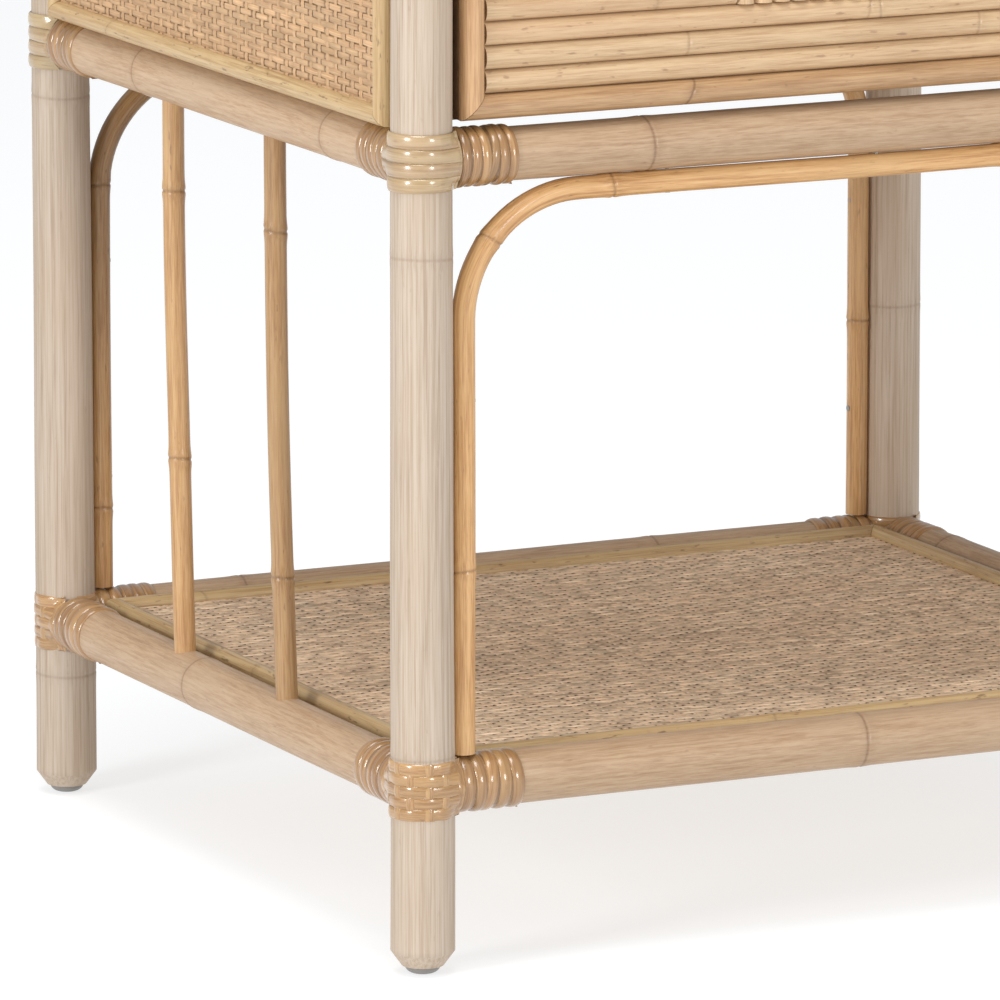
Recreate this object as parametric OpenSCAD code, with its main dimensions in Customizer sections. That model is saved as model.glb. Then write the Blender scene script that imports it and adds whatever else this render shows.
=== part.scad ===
// Rattan nightstand with one drawer.
// Four pole posts carry three levels of pole rails, lashed at every joint with peel.
// The case between the middle and top rails is closed by woven panels and holds a
// reeded drawer on wooden runners. Below it are bent-cane arches, side spindles and
// a woven shelf. Front is -Y, the floor is z = 0, all sizes are in millimetres.

/* [Frame] */
// Spacing of the post axes, side to side
post_gap_x = 470; // [440:5:520]
// Spacing of the post axes, front to back
post_gap_y = 420; // [400:5:460]
// Height of the posts' tops above the floor
frame_h = 600; // [580:5:640]
// Height of the low rails' axes
low_rail_z = 89; // [75:1:110]
// Height of the middle rails' axes
mid_rail_z = 383.5; // [370:0.5:400]
// Depth of the top rails' axes below the posts' tops
top_rail_drop = 14; // [13.5:0.5:20]

/* [Poles and canes] */
// Diameter of the posts
post_d = 29; // [26:0.5:32]
// Diameter of the rails
rail_d = 25.5; // [22:0.5:28]
// Diameter of the canes in the arches and spindles
cane_d = 11; // [9:0.5:12]
// Bend radius of the arches, at the cane's axis
arch_r = 58; // [50:1:90]
// How far the front arch sits forward of the front posts' axes
arch_forward = 2.3; // [0:0.1:3]
// How far a spindle bows towards the back
spindle_bow = 3; // [1:0.5:6]
// How far a spindle's foot stands forward of its head
spindle_lean = 12; // [0:1:20]
// Where the front spindle's head stands, as a share of the way from front to back post
spindle_share_front = 0.392; // [0.3:0.001:0.45]
// The same for the back spindle
spindle_share_back = 0.676; // [0.55:0.001:0.7]

/* [Feet] */
// Diameter of the foot glides
glide_d = 17.6; // [14:0.2:20]
// Thickness of the foot glides
glide_t = 4; // [3:0.5:6]
// Height of the taper at the posts' feet
foot_taper_h = 6; // [3:1:10]

/* [Bindings] */
// Thickness of the peel lashing
binding_t = 1.6; // [1:0.1:1.8]
// Height of the lashing round a post
band_h = 26; // [22:1:26]
// Length of the lashing along a rail, from the post's surface
wrap_len = 33; // [20:1:40]

/* [Panels] */
// Thickness of the shelf and top boards
board_t = 6; // [5:0.5:8]
// Thickness of the woven mats
mat_t = 1.5; // [1:0.1:2]
// Width of the half-round beading
bead_w = 9; // [7:0.5:10]
// Height of the shelf and top mats' faces above their rails' axes
mat_rise = 7.5; // [5:0.5:8]
// Thickness of the side and back boards
wall_t = 14; // [10:1:16]
// How far the side and back mats' faces stand out from the post axes
wall_out = 10.3; // [8:0.1:11]

/* [Drawer] */
// Height of the drawer front
front_h = 168; // [150:1:168]
// Gap between the drawer front and the posts
front_gap = 3.2; // [2:0.1:5]
// Gap between the drawer front and the middle rail
front_lift = 4.5; // [3:0.5:6]
// Thickness of the drawer front board
front_t = 12; // [10:1:15]
// How far the front board's face stands forward of the post axes
front_forward = 3; // [0:0.5:4]
// Width of the poles round the drawer front
frame_w = 11.7; // [10:0.1:13]
// Reeds across the front in each full band, above and below the block
rows_full = 3; // [1:1:4]
// Reeds across the front beside the upright block
rows_block = 7; // [5:1:9]
// Reeds in the upright block
uprights = 16; // [10:2:20]
// Width of each upright reed
upright_pitch = 9.4; // [8:0.1:11]
// Length of the drawer box behind the front
box_len = 385; // [300:5:390]
// Height of the drawer box's sides
box_h = 140; // [100:1:141]
// Thickness of the drawer box's sides
side_t = 10; // [8:1:12]
// How far the knob stands out from the reeds
knob_out = 22; // [16:1:28]

/* [Hidden] */
$fn = 96;

// Gap left between curved pieces that touch, and between strips laid side by side
fit = 0.05;
seam = 0.2;

post_r = post_d / 2;
rail_r = rail_d / 2;
cane_r = cane_d / 2;
xp = post_gap_x / 2;
top_rail_z = frame_h - top_rail_drop;
levels = [low_rail_z, mid_rail_z, top_rail_z];

// Drawer front face, its reeds and the knob set how far the object reaches forward.
// The posts are set back by half of what stands forward of them, so that the origin
// is under the middle of the whole object.
across_pitch = (front_h - 2 * frame_w) / (2 * rows_full + rows_block);
upright_r = (upright_pitch - seam) / 2;
knob_reach = front_forward + upright_r + fit + knob_out;
y_mid = (knob_reach - post_r - binding_t) / 2;
y_front = y_mid - post_gap_y / 2;
y_back = y_mid + post_gap_y / 2;

// Screws and nails
screw_r = 2;
screw_head_r = 4;
screw_head_t = 2.5;
screw_seat = post_r - 0.7;
screw_reach = post_r + 28;
screw_dz = 5;
nail_r = 0.9;
nail_head_r = 1.6;
nail_head_t = 0.8;
nail_bite = 15;
glide_pin_r = 1.5;
glide_pin_h = 16;

// Arches and spindles
leg_x = xp - post_r - cane_r - 0.3;
arch_foot_z = low_rail_z + rail_r + binding_t + 0.15;
arch_touch = rail_r + cane_r + 0.1;
spindle_heads = [for (share = [spindle_share_front, spindle_share_back]) y_front + share * post_gap_y];
leg_nail_z = [160, 270];
arch_nail_x = [-110, 0, 110];

// Flat panels, the shelf and the top
panel_x = xp - rail_r - 2.2;
panel_y = post_gap_y / 2 - rail_r - 2.2;
batten_w = 30;
batten_t = 12;
batten_x = 120;

// Walls of the case
wall_gap = 0.7;
wall_z0 = mid_rail_z + rail_r + wall_gap;
wall_z1 = top_rail_z - rail_r - wall_gap;
wall_face = wall_out - mat_t;
wall_clear = post_r + 1;
wall_nail_at = 130;

// Drawer front and box
front_z0 = mid_rail_z + rail_r + front_lift;
front_z1 = front_z0 + front_h;
front_x = xp - post_r - front_gap;
front_y = y_front - front_forward;
box_y0 = front_y + front_t;
box_y1 = box_y0 + box_len;
dado = 5;
groove = 4;
bottom_t = 4;
back_t = 10;
runner_play = 0.4;
guide_play = 1;
inner_x = xp + wall_face - wall_t;
guide_w = 15;
runner_w = 25.5;
runner_z0 = mid_rail_z + rail_r + binding_t + 0.4;
runner_t = 7.3;
guide_h = 16;
box_x = inner_x - guide_w - guide_play;
box_z0 = runner_z0 + runner_t + runner_play;
box_z1 = box_z0 + box_h;
bottom_z = box_z0 + 7;
block_x = uprights * upright_pitch / 2;
block_z0 = front_z0 + frame_w + rows_full * across_pitch;
block_z1 = block_z0 + rows_block * across_pitch;
knob_z = (front_z0 + front_z1) / 2;

post_colour = [0.86, 0.80, 0.73];
rail_colour = [0.82, 0.72, 0.62];
cane_colour = [0.84, 0.66, 0.44];
bead_colour = [0.90, 0.80, 0.60];
peel_colour = [0.84, 0.70, 0.50];
mat_colour = [0.80, 0.64, 0.47];
ply_colour = [0.72, 0.58, 0.42];
metal_colour = [0.62, 0.62, 0.60];

// Round bars along each axis
module bar_x(r, x0, x1) { translate([x0, 0, 0]) rotate([0, 90, 0]) cylinder(r = r, h = x1 - x0); }
module bar_y(r, y0, y1) { translate([0, y0, 0]) rotate([-90, 0, 0]) cylinder(r = r, h = y1 - y0); }
module bar_z(r, z0, z1) { translate([0, 0, z0]) cylinder(r = r, h = z1 - z0); }
module block(x0, x1, y0, y1, z0, z1) { translate([x0, y0, z0]) cube([x1 - x0, y1 - y0, z1 - z0]); }

// Frame screw along +X from a post's axis into a rail; grow widens it into its hole
module screw(grow) {
  bar_x(screw_head_r + grow, -screw_seat - 10 * grow, screw_head_t - screw_seat + grow);
  bar_x(screw_r + grow, -screw_seat, screw_reach + grow);
}
module screw_x(side, y, z, grow = 0) {
  translate([side * xp, y, z + screw_dz]) rotate([0, 0, side > 0 ? 180 : 0]) screw(grow);
}
module screw_y(x, y, z, grow = 0) {
  translate([x, y, z - screw_dz]) rotate([0, 0, y > y_mid ? -90 : 90]) screw(grow);
}
module frame_screws() {
  color(metal_colour)
    for (z = levels, side = [-1, 1], y = [y_front, y_back]) {
      screw_x(side, y, z);
      screw_y(side * xp, y, z);
    }
}

// Nail along +Z with its head at the origin; grow widens it into its hole
module nail(len, grow) {
  bar_z(nail_head_r + grow, -10 * grow, nail_head_t + grow);
  bar_z(nail_r + grow, 0, len + grow);
}
module spindle_nails(side, head_y, grow = 0) {
  rail_nail = 2 * rail_r + nail_bite;
  translate([side * xp, head_y - spindle_lean, low_rail_z - rail_r + 0.1]) nail(rail_nail, grow);
  translate([side * xp, head_y, mid_rail_z + rail_r - 0.1]) mirror([0, 0, 1]) nail(rail_nail, grow);
}
module arch_nails(y, grow = 0) {
  for (x = arch_nail_x)
    translate([x, y, arch_z(y) - cane_r + 0.1]) nail(cane_d + nail_bite, grow);
  for (side = [-1, 1], z = leg_nail_z)
    translate([side * (leg_x - cane_r + 0.1), y, z]) rotate([0, side * 90, 0]) nail(cane_d + nail_bite, grow);
}
// Nails that pin one wall's top and bottom edges, in the wall's own frame
module wall_nails(grow = 0) {
  for (at = [-wall_nail_at, wall_nail_at]) {
    translate([at, 0, mid_rail_z - rail_r + 0.1]) nail(2 * rail_r + nail_bite, grow);
    translate([at, 0, top_rail_z + rail_r - 0.1]) mirror([0, 0, 1]) nail(2 * rail_r + nail_bite, grow);
  }
}
module at_side(side) { translate([side * xp, y_mid, 0]) rotate([0, 0, side * 90]) children(); }
module at_back() { translate([0, y_back, 0]) rotate([0, 0, 180]) children(); }
module frame_nails() {
  color(metal_colour) {
    for (side = [-1, 1], y = spindle_heads) spindle_nails(side, y);
    for (y = [arch_front_y, y_back]) arch_nails(y);
    for (side = [-1, 1]) at_side(side) wall_nails();
    at_back() wall_nails();
  }
}

// Posts and feet
module post_body(x, y) {
  foot_r = glide_d / 2 + 1.2;
  translate([x, y, 0]) rotate_extrude()
    polygon([[0, glide_t], [foot_r, glide_t], [post_r, glide_t + foot_taper_h],
      [post_r, frame_h - 2], [post_r - 2, frame_h], [0, frame_h]]);
}
module post(side, y) {
  color(post_colour) difference() {
    post_body(side * xp, y);
    translate([side * xp, y, 0]) bar_z(glide_pin_r + fit, 0, glide_t + glide_pin_h + fit);
    for (z = levels) {
      screw_x(side, y, z, fit);
      screw_y(side * xp, y, z, fit);
    }
    arch_nails(y < y_mid ? arch_front_y : y_back, fit);
  }
}
module post_front_left() { post(-1, y_front); }
module post_front_right() { post(1, y_front); }
module post_back_left() { post(-1, y_back); }
module post_back_right() { post(1, y_back); }
module foot_glides() {
  color("gray") for (x = [-xp, xp], y = [y_front, y_back]) translate([x, y, 0]) {
    r = glide_d / 2;
    rotate_extrude() polygon([[0, 0], [r - 1, 0], [r, 1], [r, glide_t], [0, glide_t]]);
    bar_z(glide_pin_r, glide_t - 1, glide_t + glide_pin_h);
  }
}

// Rails, their ends coped round the posts
module rail_x_bar(y, z, r = rail_r) { translate([0, y, z]) bar_x(r, -xp, xp); }
module rail_y_bar(x, z, r = rail_r) { translate([x, 0, z]) bar_y(r, y_front, y_back); }
module post_bars() {
  for (x = [-xp, xp], y = [y_front, y_back]) translate([x, y, 0]) bar_z(post_r + fit, 0, frame_h + 1);
}
module rail_x(y, z) {
  color(rail_colour) difference() {
    rail_x_bar(y, z);
    post_bars();
    for (side = [-1, 1]) screw_x(side, y, z, fit);
    if (z == mid_rail_z) arch_nails(y < y_mid ? arch_front_y : y_back, fit);
    if (y == y_back && z != low_rail_z) at_back() wall_nails(fit);
  }
}
module rail_y(side, z) {
  color(rail_colour) difference() {
    rail_y_bar(side * xp, z);
    post_bars();
    for (y = [y_front, y_back]) {
      rail_x_bar(y, z, rail_r + fit);
      screw_y(side * xp, y, z, fit);
    }
    if (z != top_rail_z) for (y = spindle_heads) spindle_nails(side, y, fit);
    if (z != low_rail_z) at_side(side) wall_nails(fit);
  }
}
module rail_low_front() { rail_x(y_front, low_rail_z); }
module rail_low_back() { rail_x(y_back, low_rail_z); }
module rail_low_left() { rail_y(-1, low_rail_z); }
module rail_low_right() { rail_y(1, low_rail_z); }
module rail_mid_front() { rail_x(y_front, mid_rail_z); }
module rail_mid_back() { rail_x(y_back, mid_rail_z); }
module rail_mid_left() { rail_y(-1, mid_rail_z); }
module rail_mid_right() { rail_y(1, mid_rail_z); }
module rail_top_front() { rail_x(y_front, top_rail_z); }
module rail_top_back() { rail_x(y_back, top_rail_z); }
module rail_top_left() { rail_y(-1, top_rail_z); }
module rail_top_right() { rail_y(1, top_rail_z); }

// Peel lashings: a band round each post and a run of wraps along each rail
module wrap_bars(z, grow = 0) {
  r = rail_r + binding_t + grow;
  reach = post_r + wrap_len;
  for (x = [-xp, xp], y = [y_front, y_back]) translate([x, y, z]) {
    if (x < 0) bar_x(r, 0, reach); else bar_x(r, -reach, 0);
    if (y < y_mid) bar_y(r, 0, reach); else bar_y(r, -reach, 0);
  }
}
module bindings(z) {
  color(peel_colour) difference() {
    union() {
      wrap_bars(z);
      for (x = [-xp, xp], y = [y_front, y_back])
        translate([x, y, z]) bar_z(post_r + binding_t, -band_h / 2, min(band_h / 2, frame_h - 2 - z));
    }
    post_bars();
    for (y = [y_front, y_back]) rail_x_bar(y, z, rail_r + fit);
    for (x = [-xp, xp]) rail_y_bar(x, z, rail_r + fit);
  }
}
module bindings_low() { bindings(low_rail_z); }
module bindings_mid() { bindings(mid_rail_z); }
module bindings_top() { bindings(top_rail_z); }

// Bent-cane arches under the middle rails
arch_front_y = y_front - arch_forward;
function arch_z(y) = mid_rail_z - sqrt(pow(arch_touch, 2) - (y < y_mid ? pow(arch_forward, 2) : 0));
module arch(y) {
  color(cane_colour) difference() {
    translate([0, y, 0]) {
      translate([0, 0, arch_z(y)]) bar_x(cane_r, arch_r - leg_x, leg_x - arch_r);
      for (side = [-1, 1]) {
        translate([side * leg_x, 0, 0]) bar_z(cane_r, arch_foot_z, arch_z(y) - arch_r);
        translate([side * (leg_x - arch_r), 0, arch_z(y) - arch_r]) rotate([90, 0, 0])
          rotate([0, 0, side > 0 ? 0 : 90]) rotate_extrude(angle = 90) translate([arch_r, 0]) circle(cane_r);
      }
    }
    arch_nails(y, fit);
  }
}
module arch_front() { arch(arch_front_y); }
module arch_back() { arch(y_back); }

// Side spindles, slightly bowed, coped on the low and middle rails
module spindle(side, head_y) {
  foot_y = head_y - spindle_lean;
  run = mid_rail_z - low_rail_z - rail_d;
  chord = sqrt(run * run + spindle_lean * spindle_lean);
  bow_r = (chord * chord / 4 + spindle_bow * spindle_bow) / (2 * spindle_bow);
  half = asin((chord / 2 + rail_r * 0.7) / bow_r);
  color(cane_colour) difference() {
    translate([side * xp, (head_y + foot_y) / 2, (low_rail_z + mid_rail_z) / 2])
      rotate([-atan(spindle_lean / run), 0, 0]) translate([0, spindle_bow / 2 - bow_r, 0])
        rotate([0, -90, 0]) rotate([0, 0, 90 - half])
          rotate_extrude(angle = 2 * half, $fn = 1440) translate([bow_r, 0]) circle(cane_r, $fn = 48);
    for (z = [low_rail_z, mid_rail_z]) rail_y_bar(side * xp, z, rail_r + fit);
    spindle_nails(side, head_y, fit);
  }
}
module spindle_left_front() { spindle(-1, spindle_heads[0]); }
module spindle_left_back() { spindle(-1, spindle_heads[1]); }
module spindle_right_front() { spindle(1, spindle_heads[0]); }
module spindle_right_back() { spindle(1, spindle_heads[1]); }

// Rectangle of mitred half-round strips lying on z = 0, half sizes hx and hy outside,
// w wide, with a straight-sided base of the given height under the round
module bead_side(half_len, w, base) {
  r = w / 2;
  intersection() {
    rotate([0, 90, 0]) translate([0, 0, -half_len]) linear_extrude(2 * half_len)
      intersection() {
        union() {
          translate([-base, 0]) circle(r - seam / 4);
          translate([-base, seam / 4 - r]) square([base + 0.001, w - seam / 2]);
        }
        translate([-2 * w, -r]) square([2 * w, w]);
      }
    translate([0, 0, -1]) linear_extrude(w + base)
      polygon([[seam - half_len, -r], [half_len - seam, -r], [half_len - w, r], [w - half_len, r]]);
  }
}
module bead_frame(hx, hy, w = bead_w, base = mat_t) {
  for (turn = [0, 180]) rotate([0, 0, turn]) {
    translate([0, w / 2 - hy, 0]) bead_side(hx, w, base);
    rotate([0, 0, 90]) translate([0, w / 2 - hx, 0]) bead_side(hy, w, base);
  }
}

// Shelf and top: battens between the rails carry a board, beading round its edge and a mat
module flat_sheet(inset, z0, z1) {
  x = panel_x - inset;
  y = panel_y - inset;
  block(-x, x, y_mid - y, y_mid + y, z0, z1);
}
module flat_board(z) {
  z1 = z + mat_rise - mat_t;
  color(ply_colour) flat_sheet(0, z1 - board_t, z1);
}
module flat_mat(z) {
  color(mat_colour) flat_sheet(bead_w, z + mat_rise - mat_t, z + mat_rise);
}
module flat_beading(z) {
  color(bead_colour) translate([0, y_mid, z + mat_rise - mat_t]) bead_frame(panel_x, panel_y);
}
module flat_battens(z) {
  z1 = z + mat_rise - mat_t - board_t;
  color(ply_colour) difference() {
    for (x = [-batten_x, batten_x])
      block(x - batten_w / 2, x + batten_w / 2, y_front, y_back, z1 - batten_t, z1);
    for (y = [y_front, y_back]) rail_x_bar(y, z, rail_r + fit);
  }
}
module shelf_board() { flat_board(low_rail_z); }
module shelf_battens() { flat_battens(low_rail_z); }
module shelf_mat() { flat_mat(low_rail_z); }
module shelf_beading() { flat_beading(low_rail_z); }
module top_board() { flat_board(top_rail_z); }
module top_battens() { flat_battens(top_rail_z); }
module top_mat() { flat_mat(top_rail_z); }
module top_beading() { flat_beading(top_rail_z); }

// Walls of the case, with beading and a mat outside; drawn facing -Y and turned to each side
module wall_board(half) {
  color(ply_colour) difference() {
    block(-half, half, -wall_face, wall_t - wall_face, wall_z0, wall_z1);
    wall_nails(fit);
    for (z = [mid_rail_z, top_rail_z], end = [0, 180])
      rotate([0, 0, end]) translate([half + wall_clear, 0, z])
        bar_x(rail_r + binding_t + 0.2, -post_r - wrap_len - 1, 0);
  }
}
module wall_mat(half) {
  x = half - bead_w;
  color(mat_colour) block(-x, x, -wall_out, -wall_face, wall_z0 + bead_w, wall_z1 - bead_w);
}
module wall_beading(half) {
  color(bead_colour) translate([0, -wall_face, (wall_z0 + wall_z1) / 2]) rotate([90, 0, 0])
    bead_frame(half, (wall_z1 - wall_z0) / 2);
}
side_half = post_gap_y / 2 - wall_clear;
back_half = post_gap_x / 2 - wall_clear;
module side_board(side) {
  color(ply_colour) difference() {
    at_side(side) wall_board(side_half);
    side_screws(side, fit);
  }
}
module side_left_board() { side_board(-1); }
module side_left_mat() { at_side(-1) wall_mat(side_half); }
module side_left_beading() { at_side(-1) wall_beading(side_half); }
module side_right_board() { side_board(1); }
module side_right_mat() { at_side(1) wall_mat(side_half); }
module side_right_beading() { at_side(1) wall_beading(side_half); }
module back_board() { at_back() wall_board(back_half); }
module back_mat() { at_back() wall_mat(back_half); }
module back_beading() { at_back() wall_beading(back_half); }

// Block mirrored to the left or right side of the piece
module side_block(side, x0, x1, y0, y1, z0, z1) {
  block(side > 0 ? x0 : -x1, side > 0 ? x1 : -x0, y0, y1, z0, z1);
}

// Drawer runners with guide strips on them, the kickers over the drawer and its rear stops
runner_y0 = y_front + wall_clear;
runner_y1 = y_back - wall_clear;
runner_screw_y = [runner_y0 + 30, y_mid, runner_y1 - 30];
kicker_z0 = box_z1 + 1.5;
kicker_t = 12;
stop_h = 20;
runner_z1 = runner_z0 + runner_t;
module wood_screw(side, width, y, z, grow) {
  translate([side * (inner_x - width), y, z]) rotate([0, 0, side > 0 ? 0 : 180]) {
    bar_x(3.5 + grow, -10 * grow, screw_head_t + grow);
    bar_x(1.5 + grow, 0, width + 10 + grow);
  }
}
module side_screws(side, grow = 0) {
  for (y = runner_screw_y) {
    wood_screw(side, guide_w, y, box_z0 + guide_h / 2, grow);
    wood_screw(side, runner_w, y, kicker_z0 + kicker_t / 2, grow);
  }
}
module runner_screws() {
  color(metal_colour)
    for (side = [-1, 1]) side_screws(side);
}
module runner(side) {
  color(ply_colour) difference() {
    union() {
      side_block(side, inner_x - runner_w, inner_x, runner_y0, runner_y1, runner_z0, runner_z1);
      side_block(side, inner_x - guide_w, inner_x, runner_y0, runner_y1, runner_z1 + fit, box_z0 + guide_h);
    }
    side_screws(side, fit);
  }
}
module runner_left() { runner(-1); }
module runner_right() { runner(1); }
module drawer_kickers() {
  color(ply_colour) difference() {
    for (side = [-1, 1])
      side_block(side, inner_x - runner_w, inner_x, runner_y0, runner_y1, kicker_z0, kicker_z0 + kicker_t);
    for (side = [-1, 1]) side_screws(side, fit);
  }
}
module drawer_stops() {
  z0 = runner_z1 + fit;
  x1 = inner_x - guide_w - fit;
  color(ply_colour)
    for (side = [-1, 1])
      side_block(side, inner_x - runner_w, x1, box_y1 + 0.5, runner_y1, z0, z0 + stop_h);
}

// Drawer front: a board faced with mitred poles, rows of reed and an upright block
frame_base = 1.2;
module drawer_front_board() {
  color(ply_colour) difference() {
    block(-front_x, front_x, front_y, box_y0, front_z0, front_z1);
    for (side = [-1, 1]) side_panel(side, fit);
    bottom_panel(fit);
    knob_screw(fit);
  }
}
module drawer_front_frame() {
  color(rail_colour) translate([0, front_y, knob_z]) rotate([90, 0, 0])
    bead_frame(front_x, front_h / 2, frame_w, frame_base);
}
module half_reed(r, len) {
  intersection() {
    bar_x(r, -len / 2, len / 2);
    block(-len, len, -2 * r, 0, -2 * r, 2 * r);
  }
}
module drawer_reeds_across() {
  r = (across_pitch - seam) / 2;
  full = 2 * (front_x - frame_w) - 2 * seam;
  part = front_x - frame_w - block_x - 2 * seam;
  color(cane_colour)
    for (i = [0 : 2 * rows_full + rows_block - 1]) {
      z = front_z0 + frame_w + (i + 0.5) * across_pitch;
      if (i < rows_full || i >= rows_full + rows_block) translate([0, front_y, z]) half_reed(r, full);
      else for (side = [-1, 1])
        translate([side * (front_x - frame_w + block_x) / 2, front_y, z]) half_reed(r, part);
    }
}
module drawer_reeds_upright() {
  color(cane_colour) difference() {
    for (i = [0 : uprights - 1])
      translate([(i + 0.5) * upright_pitch - block_x, front_y, knob_z]) rotate([0, 90, 0])
        half_reed(upright_r, block_z1 - block_z0 - seam);
    knob_screw(fit);
  }
}

// Drawer box: sides let into the front, back let into the sides, bottom in grooves
module side_panel(side, grow = 0) {
  x0 = box_x - side_t - grow;
  side_block(side, x0, box_x + grow, box_y0 - dado - grow, box_y1, box_z0 - grow, box_z1 + grow);
}
module bottom_panel(grow = 0) {
  hx = box_x - side_t + groove + grow;
  block(-hx, hx, box_y0 - groove - grow, box_y1 + grow, bottom_z - grow, bottom_z + bottom_t + grow);
}
module back_panel(grow = 0) {
  hx = box_x - side_t + dado + grow;
  y1 = box_y1 - 8;
  block(-hx, hx, y1 - back_t - grow, y1 + grow, bottom_z + bottom_t + fit, box_z1 + 2 * grow - 2);
}
module box_side(side) {
  color(ply_colour) difference() {
    side_panel(side);
    bottom_panel(fit);
    back_panel(fit);
    box_screws(fit);
  }
}
module drawer_side_left() { box_side(-1); }
module drawer_side_right() { box_side(1); }
module drawer_back() {
  color(ply_colour) difference() {
    back_panel();
    box_screws(fit);
  }
}
module drawer_bottom() {
  color(ply_colour) difference() {
    bottom_panel();
    box_screws(fit);
  }
}
module box_screws(grow = 0) {
  y = box_y1 - 8 - back_t / 2;
  for (side = [-1, 1], z = [box_z0 + 35, box_z1 - 35])
    translate([side * (box_x - 0.2), y, z]) rotate([0, 0, side > 0 ? 180 : 0]) {
      bar_x(3 + grow, -10 * grow, 2 + grow);
      bar_x(1.5 + grow, 0, 26 + grow);
    }
  for (x = [-140, 0, 140]) translate([x, y, bottom_z + 0.2]) {
    bar_z(3 + grow, -10 * grow, 1.5 + grow);
    bar_z(1.5 + grow, 0, 22 + grow);
  }
}
module knob_screw(grow = 0) {
  translate([0, box_y0, knob_z]) {
    bar_y(2 + grow, -front_t - upright_r - 12 - grow, 1);
    bar_y(4.5, grow, 2.5);
  }
}
module drawer_screws() {
  color(metal_colour) {
    box_screws();
    knob_screw();
  }
}
module drawer_knob() {
  k = knob_out;
  color(rail_colour) difference() {
    translate([0, front_y - upright_r - fit, knob_z]) rotate([90, 0, 0]) rotate_extrude()
      polygon([[0, 0], [9, 0], [9, 2], [6.5, 5], [6.5, k - 14], [9, k - 11.5], [13, k - 9.5],
        [14.6, k - 7.5], [15, k - 5.5], [14.4, k - 3.4], [12.6, k - 1.8], [9.5, k - 0.7],
        [5, k - 0.1], [0, k]]);
    knob_screw(fit);
  }
}

post_front_left();
post_front_right();
post_back_left();
post_back_right();
foot_glides();
rail_low_front();
rail_low_back();
rail_low_left();
rail_low_right();
rail_mid_front();
rail_mid_back();
rail_mid_left();
rail_mid_right();
rail_top_front();
rail_top_back();
rail_top_left();
rail_top_right();
bindings_low();
bindings_mid();
bindings_top();
frame_screws();
frame_nails();
arch_front();
arch_back();
spindle_left_front();
spindle_left_back();
spindle_right_front();
spindle_right_back();
shelf_board();
shelf_battens();
shelf_mat();
shelf_beading();
top_board();
top_battens();
top_mat();
top_beading();
side_left_board();
side_left_mat();
side_left_beading();
side_right_board();
side_right_mat();
side_right_beading();
back_board();
back_mat();
back_beading();
runner_left();
runner_right();
runner_screws();
drawer_kickers();
drawer_stops();
drawer_front_board();
drawer_front_frame();
drawer_reeds_across();
drawer_reeds_upright();
drawer_side_left();
drawer_side_right();
drawer_back();
drawer_bottom();
drawer_knob();
drawer_screws();
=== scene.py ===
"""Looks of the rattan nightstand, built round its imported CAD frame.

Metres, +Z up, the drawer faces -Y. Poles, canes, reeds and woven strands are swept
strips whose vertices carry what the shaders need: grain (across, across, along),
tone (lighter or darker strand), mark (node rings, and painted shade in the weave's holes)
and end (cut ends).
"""
import math

import bmesh
import bpy
import numpy as np
from mathutils import Euler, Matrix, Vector


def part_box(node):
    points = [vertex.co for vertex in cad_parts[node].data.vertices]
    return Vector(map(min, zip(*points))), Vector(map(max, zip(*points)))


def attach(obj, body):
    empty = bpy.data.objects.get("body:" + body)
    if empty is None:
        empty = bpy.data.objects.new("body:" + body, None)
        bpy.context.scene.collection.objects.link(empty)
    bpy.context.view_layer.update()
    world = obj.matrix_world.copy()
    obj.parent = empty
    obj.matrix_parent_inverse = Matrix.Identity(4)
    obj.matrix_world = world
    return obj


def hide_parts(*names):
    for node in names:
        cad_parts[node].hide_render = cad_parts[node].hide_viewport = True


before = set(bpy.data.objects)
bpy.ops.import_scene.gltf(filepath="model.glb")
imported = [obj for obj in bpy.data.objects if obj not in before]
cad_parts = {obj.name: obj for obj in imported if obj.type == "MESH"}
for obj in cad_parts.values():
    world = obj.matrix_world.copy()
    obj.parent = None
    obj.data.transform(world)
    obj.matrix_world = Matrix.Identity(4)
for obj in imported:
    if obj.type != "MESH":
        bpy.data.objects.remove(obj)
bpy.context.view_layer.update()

MM = 0.001
rng = np.random.default_rng(11)

X, Y, Z = np.eye(3)


# ---------------------------------------------------------------- places from the frame
def corners(node):
    """Lowest and highest corner of a CAD node's box."""
    lo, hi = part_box(node)
    return np.array(lo), np.array(hi)


def middle(node):
    lo, hi = corners(node)
    return (lo + hi) / 2


def half_size(node, axis):
    lo, hi = corners(node)
    return (hi - lo)[axis] / 2


SIDES = {"left": -1, "right": 1}
ENDS = {"front": -1, "back": 1}
LEVELS = ("low", "mid", "top")
POST_R = half_size("post_front_left", 0)
POST_X = -middle("post_front_left")[0]
POST_FOOT, POST_TOP = (corner[2] for corner in corners("post_front_left"))
POST_Y = {end: middle(f"post_{end}_left")[1] for end in ENDS}
MID_Y = sum(POST_Y.values()) / 2
RAIL_R = half_size("rail_low_front", 2)
LEVEL_Z = {level: middle(f"rail_{level}_front")[2] for level in LEVELS}
CANE_R = half_size("arch_back", 1)


# ---------------------------------------------------------------- meshes from strands
# Each strand starts its grain somewhere else, up to this far off, so that no two look alike
GRAIN_SPREAD = 9
FULL_TURN = 2 * math.pi


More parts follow.
